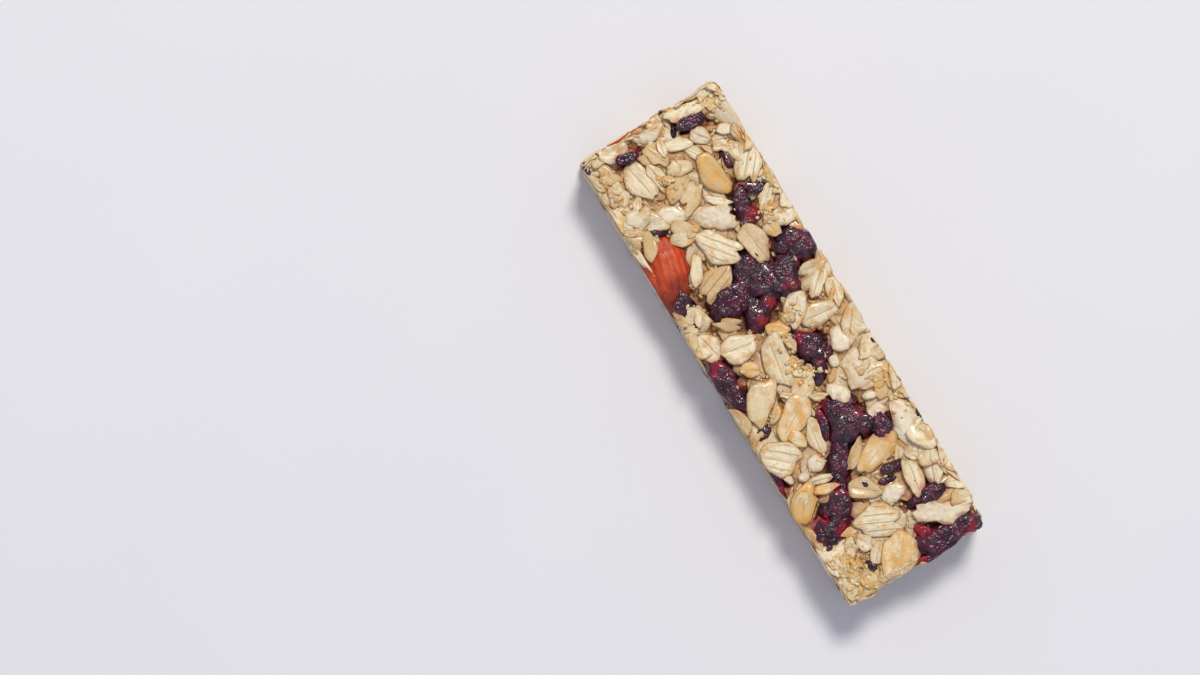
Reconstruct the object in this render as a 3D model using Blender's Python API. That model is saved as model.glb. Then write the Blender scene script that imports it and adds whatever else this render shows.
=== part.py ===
"""Granola bar: a pressed slab of rolled oats and crisped rice, set with nuts and dried cranberries.

Units are metres, +Z is up, +X runs along the bar, and the origin is the middle of the underside that it
rests on. The slab is one solid out to the uneven outline of its packed flakes. Each nut and each piece of
fruit as large as a berry is a solid of its own, seated in a pocket of the slab. Knives cut the bar out of a
wider sheet, so a piece that lies across a side or an end is cut flat there, and the tray flattens those
that touch it.
"""

import math
from collections import namedtuple

import bmesh
import bpy
from mathutils import Matrix, Vector, noise

MM = 0.001

# Driving dimensions of the bar.
LENGTH = 104.0 * MM
WIDTH = 32.4 * MM
HEIGHT = 15.0 * MM
EDGE_RADIUS = 2.2 * MM

# The slab's surface is a net of cells this wide, over flakes that lie this far apart.
CELL = 2.9 * MM
FLAKE_PITCH = 6.4 * MM

# How far flakes stand out of each face, how far the gaps between them sink in, and how wide the gaps are
# as a share of the pitch. The tray, the roller and the knives leave flatter faces than the broken ends.
PROUD = {"top": 0.5 * MM, "side": 0.15 * MM, "end": 0.5 * MM, "under": 0.0 * MM}
SUNK = {"top": 1.1 * MM, "side": 0.5 * MM, "end": 1.1 * MM, "under": 0.4 * MM}
GAP_SHARE = {"top": 0.5, "side": 0.4, "end": 0.5, "under": 0.12}

# A nut or berry keeps this gap to its pocket and to the next piece. It is cut this far inside the nominal
# sides and ends, and this far above the tray.
GAP = 0.3 * MM
TRIM_INSET = 0.2 * MM
TRAY_INSET = 0.1 * MM

# A piece in the top stands this far out of it, and one in the underside would reach this far into the tray.
CROWN_PROUD = 0.5 * MM
TRAY_BITE = 0.5 * MM

# A vertex this near a cutting plane counts as on it.
BISECT_SLACK = 0.0001 * MM

# Pieces are lofted from this many meridians and rings.
MERIDIANS = 10
RINGS = 6

# Colours as linear red, green and blue, with roughness.
FINISHES = {
    "oat": ((0.66, 0.49, 0.27, 1.0), 0.55),
    "almond": ((0.25, 0.055, 0.02, 1.0), 0.3),
    "peanut": ((0.66, 0.4, 0.16, 1.0), 0.4),
    "cranberry": ((0.09, 0.008, 0.018, 1.0), 0.25),
}

# Each row places one piece, in millimetres and degrees: x and y of its middle, length, width, turn about Z.
TOP_CRANBERRIES = (
    (-15.2, 12.7, 8.4, 7.8, 10),
    (-11.2, 7.4, 8.0, 5.0, 0),
    (-14.4, 2.0, 9.6, 6.6, 15),
    (-9.2, 0.0, 10.4, 5.6, -48),
    (-12.3, -4.9, 7.6, 6.4, -60),
    (3.4, 4.9, 8.0, 5.2, 25),
    (1.4, -13.5, 11.6, 5.6, -3),
    (19.2, 2.4, 10.4, 7.8, -20),
    (23.6, 7.9, 5.6, 4.4, -20),
    (25.4, -2.4, 9.6, 4.6, -27),
    (32.6, -7.6, 8.6, 5.4, -56),
    (36.2, -12.0, 6.8, 5.0, -30),
    (49.4, 7.6, 14.4, 7.0, 84),
    (40.2, 8.3, 8.2, 3.6, 86),
    (-27.4, 7.6, 7.6, 3.6, -25),
    (-46.6, 7.2, 6.4, 3.0, 86),
    (-47.3, -7.3, 5.6, 2.6, 78),
    (22.8, -15.3, 5.2, 2.6, 4),
)
UNDER_CRANBERRIES = (
    (-36.0, 6.5, 9.5, 7.0, 25),
    (-9.0, -7.5, 8.4, 6.4, -35),
    (30.0, -6.5, 10.4, 6.6, 15),
    (38.0, 8.0, 9.0, 7.2, 70),
)
UNDER_PEANUTS = ((-22.0, -3.0, 12.0, 8.0, 50), (2.0, 7.5, 11.4, 7.8, -20))

# An almond's row adds the height of its middle and its roll about its own length.
ALMONDS = (
    (-22.8, -12.2, 18.0, 10.0, -14, 11.4, 8),
    (-49.5, -2.5, 14.5, 9.2, 62, 8.0, 25),
    (15.5, 0.5, 19.0, 10.0, -24, 3.1, 0),
    (42.5, -14.2, 17.0, 9.6, 12, 6.0, 10),
    (-31.0, 13.6, 18.0, 9.6, -8, 6.2, -12),
)

# A round form is squarer the further its squareness is under 1. Dent, fullness and taper are shares of the
# width, and bend is a share of the length.
BERRY_DEPTH = 5.6 * MM
BERRY_SQUARENESS = 0.55
BERRY_DENT = 0.09
PEANUT_DEPTH = 5.4 * MM
PEANUT_SQUARENESS = 0.62
PEANUT_FULLNESS = 0.12
ALMOND_DEPTH = 7.2 * MM
ALMOND_SQUARENESS = 0.85
ALMOND_TAPER = 0.3
NUT_BEND = 0.03

Seat = namedtuple("Seat", "name stuff maker length width x y middle turn roll seed")


def clear_scene():
    """Removes whatever the scene holds, so that the script can be run again."""
    for obj in list(bpy.data.objects):
        bpy.data.objects.remove(obj, do_unlink=True)


def finish(name):
    """The Principled material of one foodstuff."""
    material = bpy.data.materials.new(name)
    material.use_nodes = True
    shader = material.node_tree.nodes["Principled BSDF"]
    colour, roughness = FINISHES[name]
    shader.inputs["Base Color"].default_value = colour
    shader.inputs["Roughness"].default_value = roughness
    shader.inputs["Metallic"].default_value = 0.0
    return material


def object_from(bm, name, material):
    """Links a new object that holds the bmesh, and frees it."""
    mesh = bpy.data.meshes.new(name)
    bm.to_mesh(mesh)
    bm.free()
    mesh.materials.append(material)
    obj = bpy.data.objects.new(name, mesh)
    bpy.context.scene.collection.objects.link(obj)
    return obj


def mark_as_cutter(obj):
    """Keeps a helper out of renders and shows it as wires."""
    obj.hide_render = True
    obj.display_type = "WIRE"


# ---------------------------------------------------------------- the slab


def packing(point, gap_share):
    """0 in the gaps between flakes and 1 on their crowns: the lead of the nearest flake over the next one."""
    nearest, second = noise.voronoi(point / FLAKE_PITCH)[0][:2]
    share = min(1.0, (second - nearest) / gap_share)
    return share * share * (3 - 2 * share)


def reach(normal, table):
    """A value of the relief, weighted by how much the normal looks to each of the bar's faces."""
    vertical = "top" if normal.z > 0 else "under"
    shares = ((normal.x, "end"), (normal.y, "side"), (normal.z, vertical))
    return sum(part * part * table[face] for part, face in shares)


def rounded(corner, half):
    """A point of a box moved onto the same box with rounded edges, and the normal there."""
    core = Vector(max(-h + EDGE_RADIUS, min(h - EDGE_RADIUS, c)) for c, h in zip(corner, half))
    normal = (corner - core).normalized()
    return core + normal * EDGE_RADIUS, normal


def slab_net():
    """A closed box of square cells, its edges rounded and its faces raised and sunk by the packed flakes."""
    half = Vector((LENGTH, WIDTH, HEIGHT)) / 2
    counts = [round(side / CELL) for side in (LENGTH, WIDTH, HEIGHT)]
    bm = bmesh.new()
    corners = {}

    def vertex(key):
        if key not in corners:
            corner = Vector(h * (2 * k / n - 1) for h, k, n in zip(half, key, counts))
            place, normal = rounded(corner, half)
            place.z += half.z
            sunk = reach(normal, SUNK)
            crown = packing(place, reach(normal, GAP_SHARE))
            height = crown * (reach(normal, PROUD) + sunk) - sunk
            corners[key] = bm.verts.new(place + normal * height)
        return corners[key]

    for axis in range(3):
        u, v = (axis + 1) % 3, (axis + 2) % 3
        for side in (0, counts[axis]):
            for i in range(counts[u]):
                for j in range(counts[v]):
                    ring = []
                    for di, dj in ((0, 0), (1, 0), (1, 1), (0, 1)):
                        key = [0, 0, 0]
                        key[axis], key[u], key[v] = side, i + di, j + dj
                        ring.append(vertex(tuple(key)))
                    bm.faces.new(ring if side else ring[::-1])
    return bm


# ------------------------------------------------------- nuts and berries


def lofted(shape):
    """A ball of rings and meridians, moved by a shape function of the turn and the fall from the top."""
    bm = bmesh.new()
    bmesh.ops.create_uvsphere(bm, u_segments=MERIDIANS, v_segments=RINGS, radius=1.0)
    for vertex in bm.verts:
        fall = math.acos(max(-1.0, min(1.0, vertex.co.z)))
        turn = math.atan2(vertex.co.y, vertex.co.x)
        vertex.co = shape(turn, fall)
    if bm.calc_volume(signed=True) < 0:
        bmesh.ops.reverse_faces(bm, faces=bm.faces)
    return bm


def power(value, exponent):
    """A signed power, which makes a circle squarer where the exponent is under 1."""
    return math.copysign(abs(value) ** exponent, value)


def berry(length, width, seed):
    """A dried cranberry, pressed flat above and below, its rim dented by wrinkles as the seed says."""

    def shape(turn, fall):
        wrinkles = math.sin(2 * turn + seed) + math.sin(3 * turn + 2 * seed)
        dent = 1 + BERRY_DENT * wrinkles * math.sin(fall)
        swell = dent * abs(math.sin(fall)) ** BERRY_SQUARENESS
        x = length / 2 * swell * math.cos(turn)
        y = width / 2 * swell * math.sin(turn)
        z = BERRY_DEPTH / 2 * power(math.cos(fall), BERRY_SQUARENESS)
        return Vector((x, y, z))

    return lofted(shape)


def bend(length, along, seed):
    """How far a nut's middle line strays sideways: a parabola along it, scaled by what the seed says."""
    return NUT_BEND * length * math.sin(seed) * (1 - along * along)


def peanut(length, width, seed):
    """Half a blanched peanut: a long low dome, a little fuller towards one end and slightly bent."""

    def shape(turn, fall):
        swell = abs(math.sin(fall)) ** PEANUT_SQUARENESS
        along = swell * math.cos(turn)
        y = width / 2 * swell * math.sin(turn) * (1 + PEANUT_FULLNESS * along)
        z = PEANUT_DEPTH / 2 * math.cos(fall)
        return Vector((length / 2 * along, y + bend(length, along, seed), z))

    return lofted(shape)


def almond(length, width, seed):
    """A shelled almond: round at one end, drawn to a point at the other, flattened and slightly bent."""

    def shape(turn, fall):
        along = math.cos(fall)
        taper = 1 - ALMOND_TAPER * along - ALMOND_TAPER / 2 * along * along
        swell = abs(math.sin(fall)) ** ALMOND_SQUARENESS * taper
        y = width / 2 * swell * math.cos(turn)
        z = ALMOND_DEPTH / 2 * swell * math.sin(turn)
        return Vector((length / 2 * along, y + bend(length, along, seed), z))

    return lofted(shape)


def grow(bm, distance):
    """Moves every vertex out along its own normal."""
    bm.normal_update()
    for vertex in bm.verts:
        vertex.co += vertex.normal * distance


def trim(bm):
    """Cuts a piece flat where it crosses a side, an end or the underside of the bar, and closes the cut."""
    planes = (
        (Vector((1, 0, 0)), LENGTH / 2 - TRIM_INSET),
        (Vector((-1, 0, 0)), LENGTH / 2 - TRIM_INSET),
        (Vector((0, 1, 0)), WIDTH / 2 - TRIM_INSET),
        (Vector((0, -1, 0)), WIDTH / 2 - TRIM_INSET),
        (Vector((0, 0, -1)), -TRAY_INSET),
    )
    for outward, distance in planes:
        geometry = bm.verts[:] + bm.edges[:] + bm.faces[:]
        plane = {"plane_co": outward * distance, "plane_no": outward, "dist": BISECT_SLACK}
        cut = bmesh.ops.bisect_plane(bm, geom=geometry, clear_outer=True, **plane)
        rim = [item for item in cut["geom_cut"] if isinstance(item, bmesh.types.BMEdge)]
        if rim:
            bmesh.ops.holes_fill(bm, edges=rim)
    bmesh.ops.triangulate(bm, faces=[face for face in bm.faces if len(face.verts) > 4])


def seats():
    """Where every nut and berry sits, in the order in which they are seated."""
    crown = HEIGHT + CROWN_PROUD
    lying = (
        ("peanut_under", "peanut", peanut, UNDER_PEANUTS, PEANUT_DEPTH / 2 - TRAY_BITE, 180),
        ("cranberry_top", "cranberry", berry, TOP_CRANBERRIES, crown - BERRY_DEPTH / 2, 0),
        ("cranberry_under", "cranberry", berry, UNDER_CRANBERRIES, BERRY_DEPTH / 2 - TRAY_BITE, 0),
    )
    rows = []
    for n, (*flat, middle, roll) in enumerate(ALMONDS, 1):
        rows.append((f"almond_{n}", "almond", almond, flat, middle * MM, roll))
    for prefix, stuff, maker, table, middle, roll in lying:
        for n, flat in enumerate(table, 1):
            rows.append((f"{prefix}_{n}", stuff, maker, flat, middle, roll))
    listed = []
    for seed, (name, stuff, maker, flat, middle, roll) in enumerate(rows):
        x, y, length, width = (value * MM for value in flat[:4])
        turns = math.radians(flat[4]), math.radians(roll)
        listed.append(Seat(name, stuff, maker, length, width, x, y, middle, *turns, seed))
    return listed


def seated(seat, extra=0.0):
    """The bmesh of one piece at its size and place, grown by extra."""
    bm = seat.maker(seat.length, seat.width, seat.seed)
    grow(bm, extra)
    turned = Matrix.Rotation(seat.turn, 4, "Z") @ Matrix.Rotation(seat.roll, 4, "X")
    bm.transform(Matrix.Translation((seat.x, seat.y, seat.middle)) @ turned)
    return bm


def subtract(obj, cutters, name):
    """Adds one exact Boolean that takes the shapes of all the cutters away at once."""
    group = bpy.data.collections.new(name)
    bpy.context.scene.collection.children.link(group)
    for cutter in cutters:
        group.objects.link(cutter)
    modifier = obj.modifiers.new(name, "BOOLEAN")
    modifier.operation = "DIFFERENCE"
    modifier.solver = "EXACT"
    modifier.operand_type = "COLLECTION"
    modifier.collection = group


def islands(bm):
    """The bmesh's faces, in one list for each piece that hangs together by more than a pinched edge."""
    waiting = set(bm.faces)
    found = []
    while waiting:
        stack = [waiting.pop()]
        island = []
        while stack:
            face = stack.pop()
            island.append(face)
            firm = [edge for edge in face.edges if len(edge.link_faces) == 2]
            for other in {other for edge in firm for other in edge.link_faces} & waiting:
                waiting.remove(other)
                stack.append(other)
        found.append(island)
    return found


def drop_crumbs(obj):
    """Applies an object's Booleans and keeps its largest piece, as two pockets can cut a crumb loose."""
    graph = bpy.context.evaluated_depsgraph_get()
    bm = bmesh.new()
    bm.from_object(obj, graph)
    bmesh.ops.triangulate(bm, faces=bm.faces)
    pieces = sorted(islands(bm), key=lambda island: sum(face.calc_area() for face in island))
    for crumb in pieces[:-1]:
        bmesh.ops.delete(bm, geom=crumb, context="FACES")
    obj.modifiers.clear()
    bm.to_mesh(obj.data)
    bm.free()


def boxes_meet(a, b):
    """Whether the bounding boxes of two objects, both at the origin, overlap."""
    sides = zip(zip(*a.bound_box), zip(*b.bound_box))
    return all(min(side_a) < max(side_b) and min(side_b) < max(side_a) for side_a, side_b in sides)


def main():
    clear_scene()
    materials = {name: finish(name) for name in FINISHES}
    slab = object_from(slab_net(), "oat_slab", materials["oat"])
    pockets = []
    for seat in seats():
        solid = seated(seat)
        trim(solid)
        piece = object_from(solid, seat.name, materials[seat.stuff])
        near = [pocket for pocket in pockets if boxes_meet(piece, pocket)]
        if near:
            subtract(piece, near, f"clear_of_{seat.name}")
        pocket = object_from(seated(seat, GAP), f"pocket_{seat.name}", materials[seat.stuff])
        mark_as_cutter(pocket)
        pockets.append(pocket)
    subtract(slab, pockets, "pockets")
    drop_crumbs(slab)


main()
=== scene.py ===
# %% [markdown]
# # A granola bar, from solids to looks
#
# The bar is a sheet of rolled oats, crisped rice, nuts and dried cranberries, tumbled in hot syrup, rolled flat
# and cut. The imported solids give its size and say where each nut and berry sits. This lesson dresses them: first
# the large pieces, then the syrup and the flakes that are packed around them, then the finishes and the light.
#
# Everything is worked out in millimetres, in the frame of the solids, and turned into metres when it becomes a
# mesh.

import bpy
import numpy as np
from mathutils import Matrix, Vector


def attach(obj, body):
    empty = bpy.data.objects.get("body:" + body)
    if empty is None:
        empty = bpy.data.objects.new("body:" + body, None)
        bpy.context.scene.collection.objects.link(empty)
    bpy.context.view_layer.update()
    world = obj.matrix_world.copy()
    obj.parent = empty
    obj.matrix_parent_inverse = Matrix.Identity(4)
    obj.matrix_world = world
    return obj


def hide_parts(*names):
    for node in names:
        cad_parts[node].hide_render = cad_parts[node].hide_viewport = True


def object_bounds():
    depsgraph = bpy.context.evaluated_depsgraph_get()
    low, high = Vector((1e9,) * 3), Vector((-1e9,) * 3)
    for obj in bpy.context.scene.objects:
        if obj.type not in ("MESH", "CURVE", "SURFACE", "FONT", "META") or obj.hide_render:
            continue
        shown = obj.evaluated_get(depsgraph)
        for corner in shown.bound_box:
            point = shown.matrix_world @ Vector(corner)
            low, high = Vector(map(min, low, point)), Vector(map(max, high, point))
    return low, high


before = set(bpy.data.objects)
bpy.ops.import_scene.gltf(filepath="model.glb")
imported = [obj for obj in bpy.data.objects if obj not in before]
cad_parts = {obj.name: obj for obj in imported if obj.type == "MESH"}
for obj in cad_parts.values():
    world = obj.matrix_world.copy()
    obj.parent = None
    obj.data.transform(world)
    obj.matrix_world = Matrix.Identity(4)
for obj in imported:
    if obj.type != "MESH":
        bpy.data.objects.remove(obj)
MM = 0.001
cad_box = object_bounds()
low, high = (np.array(corner) / MM for corner in cad_box)
print("the solids reach from", low.round(1), "to", high.round(1), "mm")

# %% [markdown]
# ## Meshes from arrays
#
# A scattered food is thousands of small shapes. Each shape is computed as whole arrays of points, and the arrays
# are joined before they become one mesh. An object for each flake would be slower to draw and to export, and a
# particle system would be lost in the export.

# %% Arrays to meshes
def piece(name, points, faces, finish, slot, stands_for=(), uv=None, **values):
    """Makes one object of points in millimetres and of arrays of faces, one array for each number of corners.
    The values are numbers for each point, kept as attributes for the material to read."""
    mesh = bpy.data.meshes.new(name)
    corners = np.concatenate([group.ravel() for group in faces]).astype(np.int32)
    sizes = np.concatenate([np.full(len(group), group.shape[1]) for group in faces])
    mesh.vertices.add(len(points))
    mesh.vertices.foreach_set("co", (points * MM).astype(np.float32).ravel())
    mesh.loops.add(len(corners))
    mesh.loops.foreach_set("vertex_index", corners)
    mesh.polygons.add(len(sizes))
    mesh.polygons.foreach_set("loop_start", (np.cumsum(sizes) - sizes).astype(np.int32))
    mesh.polygons.foreach_set("use_smooth", np.ones(len(sizes), bool))
    if uv is not None:
        layer = mesh.uv_layers.new(name="UVMap")
        layer.data.foreach_set("uv", uv[corners].astype(np.float32).ravel())
    for key, numbers in values.items():
        attribute = mesh.attributes.new(key, "FLOAT", "POINT")
        attribute.data.foreach_set("value", np.asarray(numbers, np.float32))
    mesh.update(calc_edges=True)
    mesh.materials.append(finish)
    made = bpy.data.objects.new(name, mesh)
    bpy.context.scene.collection.objects.link(made)
    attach(made, "root")
    if stands_for:
        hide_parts(*stands_for)
    print(f"{name}: {int((sizes - 2).sum())} triangles")
    return made


# %% [markdown]
# ## Uneven numbers that never change
#
# Nothing in food is even, but the script has to give the same bar each time. So every choice comes from one
# seeded generator, and every uneven surface from a sum of plane waves that runs in fixed random directions.

# %% Seeded choices and waves
choose = np.random.default_rng(20)


def waves(points, length, seed, count=9):
    """Smooth noise of about -1 to 1: the sum of sine waves of about one length, in random directions."""
    pick = np.random.default_rng(seed)
    directions = pick.normal(size=(count, points.shape[-1]))
    directions /= np.linalg.norm(directions, axis=1, keepdims=True)
    pitch = 2 * np.pi / (length * pick.uniform(0.7, 1.4, count))
    phases = points @ (directions * pitch[:, None]).T + pick.uniform(0, 2 * np.pi, count)
    return np.sin(phases).sum(-1) * np.sqrt(2 / count) / 1.6


def eased(value, start, end):
    """0 below start, 1 above end and an S-curve between them."""
    share = np.clip((value - start) / (end - start), 0, 1)
    return share * share * (3 - 2 * share)


def limited(value, ceiling, softness=0.12):
    """The value, levelled off as it nears the ceiling, as a roller presses down what stands too high."""
    return ceiling - softness * np.logaddexp(0, (ceiling - value) / softness)


# %% [markdown]
# ## Finishes as expressions
#
# A finish is a small graph of nodes. Written as arithmetic it stays readable, so one class wraps an output and
# turns + - * / and ** into Math nodes, and another holds the material and adds any other node.

# %% Shader arithmetic
class Wire:
    """An output of a node, on which arithmetic adds Math nodes."""

    def __init__(self, paint, socket):
        self.paint = paint
        self.socket = socket

    def math(self, operation, first, second):
        return self.paint.node("ShaderNodeMath", {"operation": operation}, {0: first, 1: second})

    def __add__(self, other):
        return self.math("ADD", self, other)

    def __sub__(self, other):
        return self.math("SUBTRACT", self, other)

    def __rsub__(self, other):
        return self.math("SUBTRACT", other, self)

    def __mul__(self, other):
        return self.math("MULTIPLY", self, other)

    def __pow__(self, other):
        return self.math("POWER", self, other)

    __radd__ = __add__
    __rmul__ = __mul__


class Paint:
    """A material with one Principled shader, whose even values are set on the shader's own sockets."""

    def __init__(self, name, **even):
        self.material = bpy.data.materials.new(name)
        self.material.use_nodes = True
        self.tree = self.material.node_tree
        self.shader = self.tree.nodes["Principled BSDF"]
        for key, value in even.items():
            self.shader.inputs[key.replace("_", " ")].default_value = value

    def node(self, kind, settings=None, sockets=None, output=0):
        """Adds a node of a kind: its settings come first, then the values or links of its sockets."""
        made = self.tree.nodes.new(kind)
        for key, value in (settings or {}).items():
            setattr(made, key, value)
        for key, value in (sockets or {}).items():
            if isinstance(value, Wire):
                self.tree.links.new(value.socket, made.inputs[key])
            else:
                made.inputs[key].default_value = value
        return Wire(self, made.outputs[output])

    def place(self):
        """The point on the surface, in metres, in the frame of the solids."""
        return self.node("ShaderNodeTexCoord", output="Object")

    def value(self, name):
        """A number that the mesh keeps for each of its points."""
        return self.node("ShaderNodeAttribute", {"attribute_name": name}, output="Fac")

    def cloud(self, size, detail=2.0, where=None, warp=0.0):
        """Soft noise of 0 to 1 with patches of about a size in millimetres."""
        sockets = {"Vector": where or self.place(), "Scale": 1 / (size * MM), "Detail": detail, "Distortion": warp}
        return self.node("ShaderNodeTexNoise", {}, sockets)

    def pits(self, size):
        """Distance to the nearest of scattered points, as a share of their spacing in millimetres."""
        return self.node("ShaderNodeTexVoronoi", {}, {"Vector": self.place(), "Scale": 1 / (size * MM)})

    def ease(self, wire, start, end):
        """0 below start, 1 above end and an S-curve between them."""
        sockets = {"Value": wire, "From Min": start, "From Max": end}
        return self.node("ShaderNodeMapRange", {"interpolation_type": "SMOOTHSTEP"}, sockets)

    def mix(self, share, first, second):
        """One colour turning into another as the share goes from 0 to 1."""
        return self.node("ShaderNodeMix", {"data_type": "RGBA"}, {0: share, 6: first, 7: second}, output=2)

    def finish(self, colour, roughness, height, depth, coat=None):
        """Links the colour, the roughness, the relief in millimetres and the coat to the shader."""
        bumped = self.node("ShaderNodeBump", {}, {"Height": height, "Distance": depth * MM})
        links = {"Base Color": colour, "Roughness": roughness, "Normal": bumped, "Coat Weight": coat}
        for key, wire in links.items():
            if wire is not None:
                self.tree.links.new(wire.socket, self.shader.inputs[key])
        return self.material


def colour(red, green, blue):
    """A screen colour of 0 to 255 as the linear colour that shaders take."""
    shares = np.array([red, green, blue]) / 255
    linear = np.where(shares < 0.04045, shares / 12.92, ((shares + 0.055) / 1.055) ** 2.4)
    return (*linear.tolist(), 1.0)

# %% [markdown]
# ## Tray, roller and knives
#
# The bar was rolled flat on a tray and cut while warm. So nothing stands out of a box with slightly rounded
# edges. What would pass a knife's plane is levelled there, each piece a hair differently, and marked as cut, so
# that a finish can show its pale inside.

# %% Tray, roller and knives
knife_side, knife_end = high[1] - 0.35, high[0] - 0.7
side, end = high[1] - 0.24, high[0] - 0.14
floor, roof = 0.09, high[2] - 0.12
spring = 0.08


def trimmed(points, inset=0.0, corner=1.3, rounding=1.2):
    """The points moved inside the box, whose upright corners and level edges are arcs, and how far each was past
    its sides. The planes wave inwards, more at the broken ends than at the sides, and the inset moves them in, so
    that no two pieces share one. What is levelled springs back by less than the spring, in order, so that the two
    skins of a flake never meet."""
    ragged = 1 + np.stack([waves(points[:, 1:], 7.0, 11), waves(points[:, ::2], 9.0, 12)], 1)
    half = np.array([end - 2 * inset, side - inset]) - np.clip(ragged, 0, 2) * [0.75, 0.28]
    core = np.clip(points[:, :2], corner - half, half - corner)
    away = points[:, :2] - core
    reach = np.maximum(np.linalg.norm(away, axis=1), 1e-6)
    over = np.maximum(reach - corner + rounding, 0)
    middle = (roof + floor) / 2
    rise = np.maximum(np.abs(points[:, 2] - middle) - (middle - floor - inset / 3 - rounding), 0)
    distance = np.maximum(np.hypot(over, rise), 1e-6)
    past = np.maximum(distance - rounding, 0)
    pull = (distance - past + spring * (1 - np.exp(-past / 1.5))) / distance
    kept = np.column_stack([core + away * (1 - over * (1 - pull) / reach)[:, None], points[:, 2]])
    kept[:, 2] -= np.sign(points[:, 2] - middle) * rise * (1 - pull)
    return kept, np.maximum(reach - corner, 0)


# %% [markdown]
# ## Nuts and berries
#
# Each nut and berry has a solid with a pocket around it, so the detailed piece starts from that solid. Seen from
# its middle, the skin of a nut is a distance in each direction, which a ray to the solid's triangles gives. The
# points are then evened out, because the solid has flat facets, and the piece's own wrinkles are pressed in.
# A copy of the solid with subdivisions would also do, but it would round off where the knife went through.

# %% Balls of directions, and rays to a solid
def ball(rings, meridians):
    """Unit directions in rings from pole to pole along Z, and the quads and triangles that close them."""
    fall = np.pi * np.arange(1, rings)[:, None] / rings
    turn = 2 * np.pi * np.arange(meridians)[None] / meridians
    belt = np.stack(np.broadcast_arrays(np.sin(fall) * np.cos(turn), np.sin(fall) * np.sin(turn), np.cos(fall)), -1)
    points = np.concatenate([[[0, 0, 1]], belt.reshape(-1, 3), [[0, 0, -1]]])
    index = 1 + np.arange((rings - 1) * meridians).reshape(rings - 1, meridians)
    after = np.roll(index, -1, 1)
    quads = np.stack([index[:-1], index[1:], after[1:], after[:-1]], -1).reshape(-1, 4)
    top = np.stack([np.zeros_like(index[0]), index[0], after[0]], -1)
    bottom = np.stack([index[-1], np.full_like(index[0], len(points) - 1), after[-1]], -1)
    return points, [quads, np.concatenate([top, bottom])]


def cast(triangles, middle, directions):
    """How far each direction runs from the middle to the solid's skin: the crossing of a line and a triangle,
    from the ratios of the determinants of its edges, for every direction and triangle at once."""
    start, side_1, side_2 = triangles[:, 0], triangles[:, 1] - triangles[:, 0], triangles[:, 2] - triangles[:, 0]
    across = np.cross(directions[:, None], side_2[None])
    whole = (side_1 * across).sum(-1)
    whole = np.where(np.abs(whole) < 1e-9, 1e-9, whole)
    away = middle - start
    share_1 = (away * across).sum(-1) / whole
    turned = np.cross(away, side_1)
    share_2 = directions @ turned.T / whole
    length = (side_2 * turned).sum(-1) / whole
    slack = 1e-4
    hits = (share_1 > -slack) & (share_2 > -slack) & (share_1 + share_2 < 1 + slack) & (length > 0)
    return np.where(hits, length, 0).max(1)


# %% The skin of one solid
def triangles_of(name):
    """The corners of a solid's triangles, in millimetres."""
    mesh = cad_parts[name].data
    mesh.calc_loop_triangles()
    points = np.empty(len(mesh.vertices) * 3, np.float32)
    mesh.vertices.foreach_get("co", points)
    corners = np.empty(len(mesh.loop_triangles) * 3, np.int32)
    mesh.loop_triangles.foreach_get("vertices", corners)
    return points.reshape(-1, 3)[corners].reshape(-1, 3, 3).astype(float) / MM


class Skin:
    """A solid's skin as rings from end to end of its long axis, evened out by averaging each point with its four
    neighbours. It keeps the points, their faces, the solid's own axes and the points' places along them."""

    def __init__(self, name, rings=36, meridians=48, evening=3):
        triangles = triangles_of(name)
        corners = triangles.reshape(-1, 3)
        middle = (corners.min(0) + corners.max(0)) / 2
        axes = np.linalg.eigh(np.cov((corners - middle).T))[1][:, ::-1].T
        axes[2] = np.cross(axes[0], axes[1])
        half = np.abs((corners - middle) @ axes.T).max(0)
        grid, self.faces = ball(rings, meridians)
        directions = (grid[:, [2, 0, 1]] * half) @ axes
        directions /= np.linalg.norm(directions, axis=1, keepdims=True)
        reach = cast(triangles, middle, directions)
        reach[reach < 0.3] = np.median(reach)
        points = middle + directions * reach[:, None]
        for _ in range(evening):
            belt = points[1:-1].reshape(rings - 1, meridians, 3)
            ends = [np.broadcast_to(pole, (1, meridians, 3)) for pole in (points[0], points[-1])]
            padded = np.concatenate([ends[0], belt, ends[1]])
            around = np.roll(belt, 1, 1) + np.roll(belt, -1, 1) + padded[:-2] + padded[2:]
            even = belt / 2 + around / 8
            points = np.concatenate([even[:1].mean(1), even.reshape(-1, 3), even[-1:].mean(1)])
        self.points = points
        self.own = (points - middle) @ axes.T
        self.outward = (points - middle) / np.linalg.norm(points - middle, axis=1, keepdims=True)
        self.rim = np.linalg.norm(self.outward[:, :2], axis=1)
        self.knife = np.maximum(np.abs(points[:, 1]) - knife_side, np.abs(points[:, 0]) - knife_end)

    def relieved(self, relief):
        """The points moved outwards by a relief, which stops at a knife's plane, and kept inside the box."""
        spared = eased(-self.knife, 0.0, 0.5)
        return trimmed(self.points + self.outward * (relief * spared)[:, None])[0]

    def values(self, tint):
        """What a material reads at each point: its own place, how surely it was cut, and the piece's tint."""
        along, beside, above = self.own.T
        cut = eased(self.knife, -0.12, -0.02)
        return {"along": along, "beside": beside, "above": above, "cut": cut, "tint": np.full(len(cut), tint)}


def valleys(noise, width):
    """1 along the lines where the noise crosses 0, falling to 0 at a width on both sides: folds and wrinkles."""
    return np.maximum(0, 1 - np.abs(noise) / width) ** 1.5


def numbered(prefix):
    """The names of the solids that start with a prefix."""
    return sorted(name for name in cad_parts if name.startswith(prefix))


# %% [markdown]
# ## Almonds
#
# An almond in a bar keeps its skin: red-brown, matt between fine lengthwise ribs that shine, and dusted with
# flour from the oats. Where a knife went through it, the flesh is cream with a thin dark rim. The ribs follow the
# nut and not the bar, so the mesh keeps each point's place along and around the nut for the material to read.

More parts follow.
